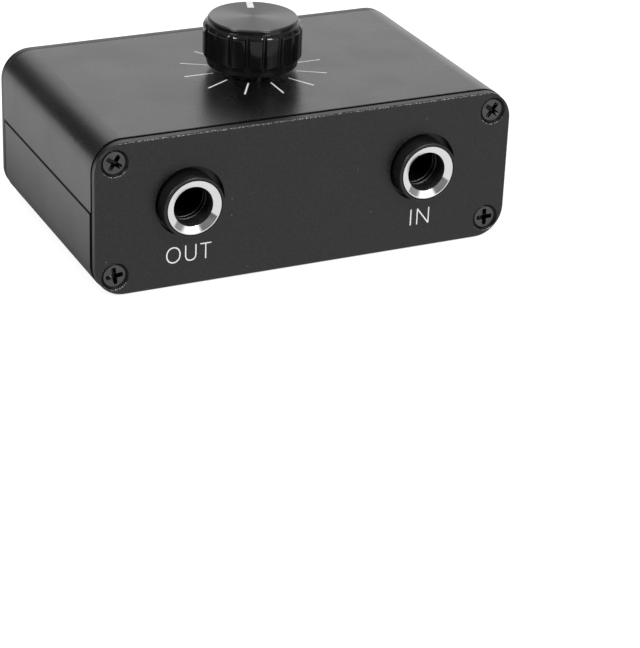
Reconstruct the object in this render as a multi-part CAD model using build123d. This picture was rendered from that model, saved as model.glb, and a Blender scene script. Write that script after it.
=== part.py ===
from build123d import *
import math
import os

# Passive volume attenuator: a small split-extrusion box with two 6.35 mm jacks in its front plate
# and one volume knob on top. Millimetres, +Z up, jacks towards -Y, origin under the middle of the box.

# General clearances
cut_overrun = 1.0
fit_gap = 0.03
running_clearance = 0.04

# Jack: plug bore, ferrule and nose
plug_bore_radius = 3.25
ferrule_wall = 0.65
ferrule_lip = 0.62
ferrule_lip_thickness = 0.9
ferrule_mouth_depth = 0.55
ferrule_mouth_rim = 0.2
ferrule_length = 12.0
nose_wall = 0.46
nose_rim_fillet = 0.3
nose_protrusion = 2.4
nose_hole_clearance = 0.73
nose_hole_rise = 0.12

# Jack: housing and contacts
jack_pitch = 39.9
jack_nose_margin = 1.5
jack_side_wall = 1.35
jack_rear_wall = 1.4
jack_edge_fillet = 0.8
plug_passage_clearance = 0.25
chamber_front_wall = 2.0
chamber_gap = 0.35
chamber_roof_gap = 0.3
contact_thickness = 0.4
contact_height = 3.2
contact_depth = 27.6
contact_bite = 1.05
contact_tail_length = 1.8
contact_tail_rise = 1.4
contact_root_length = 4.0
contact_root_inset = 1.0
tip_spring_offset = 1.65
switch_offset = 2.65
switch_reach_share = 0.6
pin_width = 1.0
pin_tail = 1.0
pin_hole_radius = 0.75
sleeve_terminal_y = 5.0
sleeve_slot_gap = 0.15

# Case: wall, corner, end plates and screws
shell_wall = 2.0
corner_radius = 5.0
bottom_shell_end_gap = 0.5
plate_thickness = 1.5
plate_inset = 0.12
plate_arris = 0.15
plate_back_edge = 0.3
jack_side_room = 7.75
jack_headroom = 2.88
jack_rear_room = 13.75
screw_thread_radius = 1.0
screw_channel_clearance = 0.05
screw_hole_clearance = 0.15
screw_head_radius = 1.83
screw_head_sink = 0.3
screw_length = 6.0
screw_recess_width = 0.7
screw_recess_span = 2.5
screw_recess_depth = 0.45
countersink_clearance = 0.42
countersink_rim = 0.41
boss_radius = 2.3
seam_rise = 6.175
seam_groove_width = 0.28
seam_groove_depth = 0.4
tongue_thickness = 0.9
tongue_height = 1.0
front_cross_angles = (35, 38, 83, 88)
rear_cross_angles = (60, 25, 75, 15)

# Circuit board and the slots that hold it; the board and all on it lie a little to one side
board_thickness = 1.6
board_over_boss = 0.22
board_edge_play = 0.3
board_shift = -0.2
board_slot_play = 0.15
board_end_play = 0.4
ledge_depth = 1.5
ledge_thickness = 1.0

# Potentiometer
pot_offset_y = 0.3
shaft_radius = 3.0
shaft_hole_clearance = 0.75
shaft_end_gap = 0.18
shaft_split_width = 0.8
shaft_split_depth = 5.0
serration_count = 18
serration_depth = 0.25
serration_height = 7.0
pivot_radius = 1.6
pivot_depth = 0.5
pivot_floor = 0.6
rotor_lip = 0.9
rotor_end_gap = 0.3
well_clearance = 0.3
well_floor = 1.2
pot_side_wall = 0.55
pot_front_wall = 0.65
pot_rear_wall = 2.3
pot_base_height = 4.2
element_thickness = 0.4
element_play = 0.05
wiper_room = 0.8
wiper_thickness = 0.2
wiper_gap = 0.05
wiper_ring_width = 0.7
wiper_finger_width = 0.8
wiper_tip_length = 0.4
frame_thickness = 0.6
frame_cheek_rise = 1.2
frame_lug_width = 2.1
frame_lug_gap = 0.2
bush_wall = 0.6
bush_collar = 0.8
bush_collar_height = 0.8
bush_height = 2.0
terminal_pitch = 2.5
terminal_thickness = 0.4
terminal_reach = 0.75
terminal_rise = 1.2

# Knob
knob_gap = 1.1
knob_radius = 8.0
knob_skirt_foot_inset = 0.7
knob_skirt_top_inset = 0.58
knob_skirt_height = 0.88
knob_cone_height = 0.87
knob_rib_height = 4.55
knob_shoulder_drop = 0.75
knob_shoulder_inset = 0.54
knob_rim_drop = 0.52
knob_rim_inset = 0.75
knob_flute_count = 18
knob_flute_radius = 0.36
knob_flute_depth = 0.42
knob_flute_run = 0.75
knob_wall = 1.0
knob_hub_wall = 1.25
knob_hub_rise = 0.4
knob_crown = 1.9
knob_bore_crown = 1.47
cap_thickness = 0.81
cap_seat_depth = 0.57
cap_rim = 0.12
cap_arris = 0.12
pad_angle = 70
pointer_angle = 71.6
pointer_width = 1.1
pointer_depth = 0.3
pointer_length = 3.1

# Jack sizes that follow from the plug
ferrule_radius = plug_bore_radius + ferrule_wall
ferrule_lip_radius = ferrule_radius + ferrule_lip
nose_radius = ferrule_lip_radius + nose_wall
nose_hole_radius = nose_radius + nose_hole_clearance
nose_length = plate_thickness + nose_protrusion
ferrule_end = ferrule_length - nose_length
tip_contact_y = contact_depth - nose_length
passage_radius = plug_bore_radius + plug_passage_clearance
tip_spring_x = plug_bore_radius + tip_spring_offset
switch_x = plug_bore_radius + switch_offset
chamber_half_width = switch_x + contact_thickness / 2 + chamber_gap
chamber_start = ferrule_end + chamber_front_wall
chamber_end = tip_contact_y + contact_tail_length + chamber_gap
contact_root_y = chamber_start + contact_root_inset
jack_body_width = 2 * (chamber_half_width + jack_side_wall)
jack_body_height = 2 * (nose_radius + jack_nose_margin)
jack_body_length = chamber_end + jack_rear_wall

# Case sizes that follow from the jacks, the board and the screws
countersink_radius = screw_head_radius + countersink_clearance
corner_reach = corner_radius - countersink_radius - countersink_rim
screw_inset = corner_radius - corner_reach / math.sqrt(2)
board_bottom = screw_inset + boss_radius + board_over_boss
board_top = board_bottom + board_thickness
jack_axis_height = board_top + jack_body_height / 2
seam_height = board_top + seam_rise
case_width = jack_pitch + jack_body_width + 2 * jack_side_room
case_height = board_top + jack_body_height + jack_headroom + shell_wall
shell_length = jack_body_length + jack_rear_room
shell_half_length = shell_length / 2
plate_outer_y = shell_half_length + plate_thickness
inner_half_width = case_width / 2 - shell_wall
screw_x = case_width / 2 - screw_inset
screw_low = screw_inset
screw_high = case_height - screw_inset
board_half_width = inner_half_width - board_edge_play
board_half_length = shell_half_length - bottom_shell_end_gap - board_end_play

# Potentiometer heights above the board, and its widths
rotor_radius = shaft_radius + rotor_lip
well_radius = rotor_radius + well_clearance
pot_half_width = well_radius + pot_side_wall
pot_front = -(well_radius + pot_front_wall)
pot_rear = well_radius + pot_rear_wall
element_top = well_floor + element_thickness
rotor_top = pot_base_height - rotor_end_gap
rotor_bottom = element_top + wiper_room
bush_bore = shaft_radius + running_clearance
bush_radius = bush_bore + bush_wall
frame_top = pot_base_height + frame_thickness
bush_top = frame_top + bush_height
lug_half_width = frame_lug_width / 2
wiper_inner_radius = pivot_radius + running_clearance
wiper_tip_radius = rotor_radius - wiper_tip_length

# Knob heights above its lower edge
knob_bottom = case_height + knob_gap
knob_skirt_foot_radius = knob_radius - knob_skirt_foot_inset
knob_skirt_top_radius = knob_radius - knob_skirt_top_inset
knob_rib_foot = knob_skirt_height + knob_cone_height
knob_shoulder = knob_rib_foot + knob_rib_height
knob_neck = knob_shoulder + knob_shoulder_drop
knob_rim = knob_neck + knob_rim_drop
knob_rim_radius = knob_radius - knob_rim_inset
knob_neck_radius = knob_radius - knob_shoulder_inset
knob_hub_bore = shaft_radius + fit_gap
knob_hub_radius = knob_hub_bore + knob_hub_wall
knob_hollow_radius = knob_skirt_foot_radius - knob_wall
knob_hollow_top = knob_rim - knob_crown
knob_bore_top = knob_rim - knob_bore_crown
cap_radius = knob_rim_radius - cap_rim
cap_bottom = knob_rim - cap_seat_depth
shaft_tip = knob_bottom + knob_bore_top - shaft_end_gap - board_top


def block(x_low, x_high, y_low, y_high, z_low, z_high):
    """A box between two corners."""
    centre = Pos((x_low + x_high) / 2, (y_low + y_high) / 2, (z_low + z_high) / 2)
    return centre * Box(x_high - x_low, y_high - y_low, z_high - z_low)


def along_y(section, y_low, y_high):
    """A section drawn in X and Z, run along Y."""
    return extrude(Plane.XZ.offset(-y_high) * section, amount=y_high - y_low)


def rod_y(radius, y_low, y_high):
    """A round bar on the Y axis."""
    return along_y(Circle(radius), y_low, y_high)


def turned_y(points):
    """A profile of (radius, y) points turned about the Y axis."""
    return revolve(make_face(Polyline(*points, close=True)), axis=Axis.Y)


def turned_z(points):
    """A profile of (radius, z) points turned about the Z axis."""
    return revolve(Plane.XZ * make_face(Polyline(*points, close=True)), axis=Axis.Z)


def tube_z(inner_radius, outer_radius, z_low, z_high):
    """A plain ring on the Z axis."""
    ring = Circle(outer_radius) - Circle(inner_radius)
    return extrude(Plane.XY.offset(z_low) * ring, amount=z_high - z_low)


def rod_z(radius, z_low, z_high):
    """A round bar on the Z axis."""
    return extrude(Plane.XY.offset(z_low) * Circle(radius), amount=z_high - z_low)


# Case

def case_outline(inset):
    """The rounded outline of the box, drawn in X and Z."""
    outline = RectangleRounded(case_width - 2 * inset, case_height - 2 * inset, corner_radius - inset)
    return Pos(0, case_height / 2) * outline


def screw_places(heights):
    """Screw centres in X and Z at the given heights."""
    return [Pos(side * screw_x, height) for height in heights for side in (-1, 1)]


def wall_strip(inner_x, outer_x, low, high):
    """The same upright strip on both side walls, drawn in X and Z."""
    strip = Rectangle(outer_x - inner_x, high - low)
    middle_x = (inner_x + outer_x) / 2
    middle_z = (low + high) / 2
    return [Pos(side * middle_x, middle_z) * strip for side in (-1, 1)]


def shell_ring():
    """The whole extruded section: wall and screw channels, before it is split."""
    places = screw_places((screw_low, screw_high))
    bosses = [place * Circle(boss_radius) for place in places]
    channels = [place * Circle(screw_thread_radius + screw_channel_clearance) for place in places]
    ring = case_outline(0) - case_outline(shell_wall) + bosses
    return ring - channels


def seam_notches():
    """The narrow groove along the outside of the seam."""
    notch = Rectangle(2 * seam_groove_depth, seam_groove_width)
    return [Pos(side * case_width / 2, seam_height) * notch for side in (-1, 1)]


def bottom_shell():
    """Lower half: tongue along the seam and a pair of slots for the board."""
    lower_half = Pos(0, seam_height / 2) * Rectangle(case_width, seam_height)
    section = shell_ring() & lower_half
    tongue_outer = inner_half_width + tongue_thickness
    tongue_low = seam_height - tongue_height
    section += wall_strip(inner_half_width, tongue_outer, tongue_low, seam_height + tongue_height)
    ledge_inner = inner_half_width - ledge_depth
    wall_middle = inner_half_width + shell_wall / 2
    section += wall_strip(ledge_inner, wall_middle, board_bottom - ledge_thickness, board_bottom)
    slot_top = board_top + board_slot_play
    section += wall_strip(ledge_inner, wall_middle, slot_top, slot_top + ledge_thickness)
    section -= seam_notches()
    half_length = shell_half_length - bottom_shell_end_gap
    return along_y(section, -half_length, half_length)


def top_shell():
    """Upper half: rebate for the tongue and a clearance hole for the shaft."""
    upper_height = case_height - seam_height
    upper_half = Pos(0, seam_height + upper_height / 2) * Rectangle(case_width, upper_height)
    section = shell_ring() & upper_half
    rebate_outer = inner_half_width + tongue_thickness + fit_gap
    rebate_top = seam_height + tongue_height + fit_gap
    section -= wall_strip(inner_half_width - cut_overrun, rebate_outer, seam_height - cut_overrun, rebate_top)
    section -= seam_notches()
    shell = along_y(section, -shell_half_length, shell_half_length)
    hole_low = case_height - shell_wall - cut_overrun
    hole = rod_z(shaft_radius + shaft_hole_clearance, hole_low, case_height + cut_overrun)
    return shell - Pos(0, pot_offset_y, 0) * hole


def countersink():
    """Cutter for one countersunk hole; the plate's outer face is at y = 0 and the hole runs along +Y."""
    hole_radius = screw_thread_radius + screw_hole_clearance
    cone_depth = countersink_radius - hole_radius
    points = [
        (0, -cut_overrun),
        (countersink_radius + cut_overrun, -cut_overrun),
        (hole_radius, cone_depth),
        (hole_radius, plate_thickness + cut_overrun),
        (0, plate_thickness + cut_overrun),
    ]
    return turned_y(points)


def end_plate():
    """A plate with its four countersunk holes; outer face at y = 0, inner face towards +Y."""
    plate = along_y(case_outline(plate_inset), 0, plate_thickness)
    outer_face = plate.faces().sort_by(Axis.Y)[0]
    plate = chamfer(outer_face.outer_wire().edges(), plate_arris)
    # The plate is smaller than the shells and its back edge is broken, so a dark line shows all round
    inner_face = plate.faces().sort_by(Axis.Y)[-1]
    plate = chamfer(inner_face.outer_wire().edges(), plate_back_edge)
    for side in (-1, 1):
        for height in (screw_low, screw_high):
            plate -= Pos(side * screw_x, 0, height) * countersink()
    return plate


def front_plate():
    """The plate with the two jack holes."""
    plate = Pos(0, -plate_outer_y, 0) * end_plate()
    for side in (-1, 1):
        hole = rod_y(nose_hole_radius, -plate_outer_y - cut_overrun, -shell_half_length + cut_overrun)
        plate -= Pos(side * jack_pitch / 2, 0, jack_axis_height + nose_hole_rise) * hole
    return plate


def rear_plate():
    """The plain plate, turned to face +Y."""
    return Rot(0, 0, 180) * Pos(0, -plate_outer_y, 0) * end_plate()


def screw(cross_angle):
    """One countersunk cross-head screw along +Y, its head sunk a little under the plate's face at y = 0."""
    head_depth = screw_head_radius - screw_thread_radius
    points = [
        (0, screw_head_sink),
        (screw_head_radius, screw_head_sink),
        (screw_thread_radius, screw_head_sink + head_depth),
        (screw_thread_radius, screw_length),
        (0, screw_length),
    ]
    arm = along_y(Rectangle(screw_recess_span, screw_recess_width), 0, screw_head_sink + screw_recess_depth)
    recess = arm + Rot(0, 90, 0) * arm
    return turned_y(points) - Rot(0, cross_angle, 0) * recess


def front_plate_screws():
    """The four screws of the front plate, as separate solids."""
    corners = [(side, height) for height in (screw_high, screw_low) for side in (-1, 1)]
    placed = []
    for (side, height), angle in zip(corners, front_cross_angles):
        placed.append(Pos(side * screw_x, -plate_outer_y, height) * screw(angle))
    return placed


def rear_plate_screws():
    """The four screws of the rear plate, as separate solids."""
    corners = [(side, height) for height in (screw_high, screw_low) for side in (-1, 1)]
    placed = []
    for (side, height), angle in zip(corners, rear_cross_angles):
        placed.append(Rot(0, 0, 180) * Pos(side * screw_x, -plate_outer_y, height) * screw(angle))
    return placed


# Jacks; each is drawn on its own axis, with y = 0 on the inner face of the front plate

def jack_place(side):
    """Where a jack's own axis lies in the box."""
    return Pos(side * jack_pitch / 2 + board_shift, -shell_half_length, jack_axis_height)


def jack_housing():
    """Moulded body with its round nose, the ferrule's seat and the contact chamber, open to the board."""
    half_width = jack_body_width / 2
    half_height = jack_body_height / 2
    body = block(-half_width, half_width, 0, jack_body_length, -half_height, half_height)
    top_edges = body.edges().filter_by(Axis.Y).group_by(Axis.Z)[-1]
    body = fillet(top_edges, min(jack_edge_fillet, jack_side_wall / 2))
    nose = rod_y(nose_radius, -nose_length, jack_rear_wall)
    nose = fillet(nose.edges().sort_by(Axis.Y)[0], min(nose_rim_fillet, nose_wall / 2))
    lip_end = ferrule_lip_thickness - nose_length + fit_gap
    seat = rod_y(ferrule_lip_radius + fit_gap, -nose_length - cut_overrun, lip_end)
    seat += rod_y(ferrule_radius + fit_gap, -nose_length, ferrule_end + fit_gap)
    seat += rod_y(passage_radius, -nose_length, jack_body_length + cut_overrun)
    roof = passage_radius + chamber_roof_gap
    chamber = block(
        -chamber_half_width, chamber_half_width, chamber_start, chamber_end, -half_height - cut_overrun, roof
    )
    slot_half_width = pin_width / 2 + sleeve_slot_gap
    slot_half_depth = contact_thickness / 2 + sleeve_slot_gap
    slot = block(
        -slot_half_width, slot_half_width, sleeve_terminal_y - slot_half_depth,
        sleeve_terminal_y + slot_half_depth, -half_height - cut_overrun, 0
    )
    return body + nose - seat - chamber - slot


def jack_ferrule():
    """Plated bush that grips the plug's sleeve: a lip in the nose, a bevelled mouth and a straight bore."""
    front = -nose_length
    mouth_radius = ferrule_lip_radius - ferrule_mouth_rim
    points = [
        (plug_bore_radius, front + ferrule_mouth_depth),
        (mouth_radius, front),
        (ferrule_lip_radius, front),
        (ferrule_lip_radius, front + ferrule_lip_thickness),
        (ferrule_radius, front + ferrule_lip_thickness),
        (ferrule_radius, ferrule_end),
        (plug_bore_radius, ferrule_end),
    ]
    return turned_y(points)


def contact_pin(x, y):
    """The leg of a contact, from the middle of the strip down through the board."""
    half_thickness = contact_thickness / 2
    half_width = pin_width / 2
    low = -jack_body_height / 2 - board_thickness - pin_tail
    return block(x - half_thickness, x + half_thickness, y - half_width, y + half_width, low, 0)


def contact_strip(points):
    """A thin upright strip that follows points in X and Y, with its leg at the first point."""
    path = trace(Polyline(*points), line_width=contact_thickness)
    low = -contact_height / 2
    strip = extrude(Plane.XY.offset(low) * path, amount=contact_height)
    return strip + contact_pin(points[0][0], points[0][1] + pin_width / 2)


def jack_tip_spring():
    """Spring that presses on the plug's tip: a straight root, a bump into the bore and a tail."""
    bump_x = plug_bore_radius - contact_bite
    tail = (bump_x + contact_tail_rise, tip_contact_y + contact_tail_length)
    root_end = (tip_spring_x, contact_root_y + contact_root_length)
    return contact_strip([(tip_spring_x, contact_root_y), root_end, (bump_x, tip_contact_y), tail])


def jack_switch_contact():
    """Fixed contact beside the tip spring, which a plug pushes the spring away from."""
    reach = contact_root_y + (tip_contact_y - contact_root_y) * switch_reach_share
    return contact_strip([(switch_x, contact_root_y), (switch_x, reach)])


def jack_sleeve_terminal():
    """Strip from the underside of the ferrule down through the board."""
    half_width = pin_width / 2
    half_thickness = contact_thickness / 2
    low = -jack_body_height / 2 - board_thickness - pin_tail
    return block(
        -half_width, half_width, sleeve_terminal_y - half_thickness, sleeve_terminal_y + half_thickness,
        low, -ferrule_radius - fit_gap
    )


def jack_pin_places():
    """Where one jack's legs pass through the board, on the jack's own axis."""
    leg_y = contact_root_y + pin_width / 2
    return [(tip_spring_x, leg_y), (switch_x, leg_y), (0, sleeve_terminal_y)]


# Circuit board

def circuit_board():
    """Board in the bottom shell's slots, with a hole for every leg and two slots for the pot's lugs."""
    board = block(
        -board_half_width, board_half_width, -board_half_length, board_half_length, board_bottom, board_top
    )
    hole = rod_z(pin_hole_radius, board_bottom - cut_overrun, board_top + cut_overrun)
    for side in (-1, 1):
        for x, y in jack_pin_places():
            board -= Pos(side * jack_pitch / 2 + x, y - shell_half_length, 0) * hole
    for place in (-1, 0, 1):
        board -= Pos(place * terminal_pitch, pot_offset_y + pot_rear + terminal_reach, 0) * hole
    slot_inner = pot_half_width - frame_lug_gap
    slot_outer = pot_half_width + frame_thickness + frame_lug_gap
    slot_half = lug_half_width + frame_lug_gap
    for side in (-1, 1):
        low_x, high_x = sorted((side * slot_inner, side * slot_outer))
        board -= block(
            low_x, high_x, pot_offset_y - slot_half, pot_offset_y + slot_half,
            board_bottom - cut_overrun, board_top + cut_overrun
        )
    return Pos(board_shift, 0, 0) * board


# Potentiometer; drawn on its own axis, with z = 0 on top of the board

def pot_base():
    """Moulded base with a round well for the rotor and a blind hole for the pivot."""
    base = block(-pot_half_width, pot_half_width, pot_front, pot_rear, 0, pot_base_height)
    well = rod_z(well_radius, well_floor, pot_base_height + cut_overrun)
    pivot_hole = rod_z(pivot_radius + running_clearance, pivot_floor, well_floor + cut_overrun)
    return base - well - pivot_hole


def pot_element():
    """Ring-shaped resistance wafer on the floor of the well."""
    return tube_z(pivot_radius + well_clearance, well_radius - element_play, well_floor, element_top)


def pot_terminals():
    """Three bent legs at the back of the base, as separate solids."""
    half_width = pin_width / 2
    outer_y = pot_rear + terminal_reach + terminal_thickness / 2
    inner_y = outer_y - terminal_thickness
    low = -board_thickness - pin_tail
    top = terminal_rise + terminal_thickness
    arm = block(-half_width, half_width, pot_rear, outer_y, terminal_rise, top)
    leg = block(-half_width, half_width, inner_y, outer_y, low, top)
    return [Pos(place * terminal_pitch, 0, 0) * (arm + leg) for place in (-1, 0, 1)]


def pot_frame():
    """Bent sheet over the base: a top with the bush's hole, two cheeks and a lug below each."""
    outer = pot_half_width + frame_thickness
    frame = block(-outer, outer, pot_front, pot_rear, pot_base_height, frame_top)
    hole = rod_z(bush_radius, pot_base_height - cut_overrun, frame_top + cut_overrun)
    for side in (-1, 1):
        low_x, high_x = sorted((side * pot_half_width, side * outer))
        frame += block(low_x, high_x, pot_front, well_radius, frame_cheek_rise, frame_top)
        lug_low = -board_thickness - pin_tail
        frame += block(low_x, high_x, -lug_half_width, lug_half_width, lug_low, frame_top)
    return frame - hole


def pot_bush():
    """Bearing for the shaft, with a collar on top of the frame."""
    points = [
        (bush_bore, pot_base_height),
        (bush_radius, pot_base_height),
        (bush_radius, frame_top),
        (bush_radius + bush_collar, frame_top),
        (bush_radius + bush_collar, frame_top + bush_collar_height),
        (bush_radius, frame_top + bush_collar_height),
        (bush_radius, bush_top),
        (bush_bore, bush_top),
    ]
    return turned_z(points)


def pot_shaft():
    """Shaft from the pivot in the base to the knob, serrated and split at its upper end."""
    shaft = rod_z(shaft_radius, rotor_top, shaft_tip)
    shaft += rod_z(pivot_radius, well_floor - pivot_depth, rotor_top)
    side = serration_depth * math.sqrt(2)
    groove = Rot(0, 0, 45) * Box(side, side, serration_height + cut_overrun)
    groove_middle = shaft_tip - (serration_height - cut_overrun) / 2
    ring = PolarLocations(shaft_radius, serration_count)
    shaft -= [Pos(0, 0, groove_middle) * place * groove for place in ring]
    half_split = shaft_split_width / 2
    reach = shaft_radius + cut_overrun
    return shaft - block(
        -half_split, half_split, -reach, reach, shaft_tip - shaft_split_depth, shaft_tip + cut_overrun
    )


def pot_rotor():
    """Moulded disc on the shaft's lower end, which carries the wiper."""
    return tube_z(pivot_radius, rotor_radius, rotor_bottom, rotor_top)


def pot_wiper():
    """Spring ring under the rotor with one finger that runs on the element."""
    top = rotor_bottom
    ring_outer = wiper_inner_radius + wiper_ring_width
    ring = tube_z(wiper_inner_radius, ring_outer, top - wiper_thickness, top)
    half = wiper_finger_width / 2
    ring_middle = wiper_inner_radius + wiper_ring_width / 2
    tip_outer = wiper_tip_radius + wiper_tip_length / 2
    finger = block(ring_middle, tip_outer, -half, half, top - wiper_thickness, top)
    tip_inner = tip_outer - wiper_tip_length
    tip = block(tip_inner, tip_outer, -half, half, element_top + wiper_gap, top)
    return Rot(0, 0, pointer_angle) * (ring + finger + tip)


# Knob; drawn on its own axis, with z = 0 on its lower edge

def knob_outside():
    """The turned outside: tapered skirt, ribbed band, shoulder and rim."""
    points = [
        (0, 0),
        (knob_skirt_foot_radius, 0),
        (knob_skirt_top_radius, knob_skirt_height),
        (knob_radius, knob_rib_foot),
        (knob_radius, knob_shoulder),
        (knob_neck_radius, knob_neck),
        (knob_rim_radius, knob_rim),
        (0, knob_rim),
    ]
    return turned_z(points)


def knob_flutes():
    """Upright grooves that part the ribbed band into pads, with one pad about under the pointer."""
    flute_top = knob_shoulder + knob_flute_run
    flute = rod_z(knob_flute_radius, knob_skirt_height - cut_overrun, flute_top)
    centre_radius = knob_radius - knob_flute_depth + knob_flute_radius
    start = pad_angle + 180 / knob_flute_count
    return [place * flute for place in PolarLocations(centre_radius, knob_flute_count, start)]


def knob_body():
    """Hollow moulded knob with a hub for the shaft and a seat for the cap."""
    body = knob_outside() - knob_flutes()
    body -= rod_z(cap_radius + fit_gap, cap_bottom, knob_rim + cut_overrun)
    body -= tube_z(knob_hub_radius, knob_hollow_radius, -cut_overrun, knob_hollow_top)
    body -= rod_z(knob_hollow_radius, -cut_overrun, knob_hub_rise)
    return body - rod_z(knob_hub_bore, -cut_overrun, knob_bore_top)


def knob_cap():
    """Spun disc in the top of the knob, with a slot for the pointer line that runs out at its edge."""
    top = cap_bottom + cap_thickness
    cap = rod_z(cap_radius, cap_bottom, top)
    cap = chamfer(cap.edges().group_by(Axis.Z)[-1], cap_arris)
    half = pointer_width / 2
    inner_end = cap_radius - pointer_length
    slot_floor = top - pointer_depth
    slot = block(inner_end, cap_radius + cut_overrun, -half, half, slot_floor, top + cut_overrun)
    return cap - Rot(0, 0, pointer_angle) * slot


# Every node and its shape, in the box's frame

def placed(place, shape):
    """A shape, or each shape of a group, moved to its place."""
    if isinstance(shape, list):
        return [place * piece for piece in shape]
    return place * shape


def all_nodes():
    """Node names with their shapes; a list is a group of separate solids."""
    nodes = {
        "top_shell": top_shell(),
        "bottom_shell": bottom_shell(),
        "front_plate": front_plate(),
        "rear_plate": rear_plate(),
        "front_plate_screws": front_plate_screws(),
        "rear_plate_screws": rear_plate_screws(),
        "circuit_board": circuit_board(),
    }
    jack_pieces = {
        "housing": jack_housing(),
        "ferrule": jack_ferrule(),
        "tip_spring": jack_tip_spring(),
        "switch_contact": jack_switch_contact(),
        "sleeve_terminal": jack_sleeve_terminal(),
    }
    for label, side in (("out", -1), ("in", 1)):
        for piece, shape in jack_pieces.items():
            nodes[f"{label}_jack_{piece}"] = placed(jack_place(side), shape)
    pot_place = Pos(board_shift, pot_offset_y, board_top)
    pot_pieces = {
        "base": pot_base(),
        "element": pot_element(),
        "terminals": pot_terminals(),
        "frame": pot_frame(),
        "bush": pot_bush(),
        "shaft": pot_shaft(),
        "rotor": pot_rotor(),
        "wiper": pot_wiper(),
    }
    for piece, shape in pot_pieces.items():
        nodes[f"pot_{piece}"] = placed(pot_place, shape)
    knob_place = Pos(board_shift, pot_offset_y, knob_bottom)
    nodes["knob_body"] = placed(knob_place, knob_body())
    nodes["knob_cap"] = placed(knob_place, knob_cap())
    return nodes


os.makedirs("parts", exist_ok=True)
for name, shape in all_nodes().items():
    if isinstance(shape, list):
        shape = Compound(children=[piece.solid() for piece in shape])
    export_step(shape, f"parts/{name}.step")
print(f"case {case_width:.2f} x {2 * plate_outer_y:.2f} x {case_height:.2f} mm")
print(f"jack axes at x {board_shift:.2f} -/+ {jack_pitch / 2:.2f}, z {jack_axis_height:.3f}")
print(f"knob top at z {knob_bottom + cap_bottom + cap_thickness:.2f}")
print(f"shaft tip {shaft_tip:.2f} above the board")
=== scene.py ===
# %% [markdown]
# # A small black volume box, dressed for its picture
#
# The object is a passive attenuator: an aluminium box with two jack sockets in its front plate and one knob
# on top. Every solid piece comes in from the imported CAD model, at its real size and place. This lesson
# gives the pieces their finishes, replaces the few that need softer forms than CAD gave them, prints the
# dial and two words on the box, and sets up the studio and the camera.

# %% Load the frame
import math

import bmesh
import bpy
from mathutils import Matrix, Vector


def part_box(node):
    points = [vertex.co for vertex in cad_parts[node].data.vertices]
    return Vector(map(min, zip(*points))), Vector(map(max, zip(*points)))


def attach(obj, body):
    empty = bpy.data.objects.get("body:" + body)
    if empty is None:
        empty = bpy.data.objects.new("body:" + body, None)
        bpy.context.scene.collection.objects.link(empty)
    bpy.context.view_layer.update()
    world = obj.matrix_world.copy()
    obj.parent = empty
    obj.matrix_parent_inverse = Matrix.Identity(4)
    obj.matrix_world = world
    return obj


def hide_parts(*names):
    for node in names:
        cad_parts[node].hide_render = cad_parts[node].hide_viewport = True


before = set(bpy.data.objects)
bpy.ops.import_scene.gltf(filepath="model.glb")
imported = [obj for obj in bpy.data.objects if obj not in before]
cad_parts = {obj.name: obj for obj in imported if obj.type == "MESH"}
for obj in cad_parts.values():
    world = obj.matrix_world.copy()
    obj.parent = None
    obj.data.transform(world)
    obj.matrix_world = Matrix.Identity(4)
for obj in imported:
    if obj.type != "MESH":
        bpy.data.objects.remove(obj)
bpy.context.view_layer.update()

MM = 0.001

# %% [markdown]
# ## Helpers for materials
#
# A colour picker shows sRGB values, but a shader works with linear light, so one function converts them.
# Materials in Blender are trees of nodes, which can be drawn in the shader editor or written as code. Code
# is used here, because every number can then be read and changed in one place. One function adds a node.
# Each input gets a value, or the node that feeds it, which gives the first output that it has switched on.
# Two more start a material and put a finished one on CAD nodes.


# %% Colours and nodes
def linear(hex_colour):
    """An sRGB hex colour as the linear colour that a shader takes."""
    channels = [int(hex_colour[i : i + 2], 16) / 255 for i in (1, 3, 5)]
    return [c / 12.92 if c <= 0.04045 else ((c + 0.055) / 1.055) ** 2.4 for c in channels] + [1.0]


def add_node(tree, kind, inputs=None, **settings):
    """One node: settings by name, and each input a value, an output, or a node for its first output."""
    node = tree.nodes.new(kind)
    for name, value in settings.items():
        setattr(node, name, value)
    for socket, value in (inputs or {}).items():
        if isinstance(value, bpy.types.Node):
            value = next(output for output in value.outputs if output.enabled)
        if isinstance(value, bpy.types.NodeSocket):
            tree.links.new(value, node.inputs[socket])
        else:
            node.inputs[socket].default_value = value
    return node


def new_material(name):
    """An empty material with its Object coordinates, which stay put on the piece."""
    material = bpy.data.materials.new(name)
    material.use_nodes = True
    tree = material.node_tree
    tree.nodes.clear()
    place = add_node(tree, "ShaderNodeTexCoord").outputs["Object"]
    return material, tree, place


def dress(material, *node_names):
    """Gives CAD nodes a finish in place of their plain one."""
    for node_name in node_names:
        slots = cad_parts[node_name].data.materials
        slots.clear()
        slots.append(material)
    print(material.name, "on", ", ".join(node_names))


print("mid grey #808080 is", round(linear("#808080")[0], 3), "in linear light")

# %% [markdown]
# ## Black anodised aluminium
#
# The shells are an extrusion and the plates are sheet. Both were blasted with fine beads, then anodised and
# dyed black. The oxide film is clear and hard like sapphire, so almost all that the eye gets is a soft
# reflection off a nearly black ground. A metal shader would show bright aluminium, so this is a dielectric,
# with an IOR near that of the film. The blasting leaves dimples of about 0.1 mm, which would vanish at this
# picture size, so they are drawn at 0.3 mm, and the dye sits a little unevenly on them. Slow patches in the
# gloss keep large faces from looking computed, and a little lint lies on them.


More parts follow.
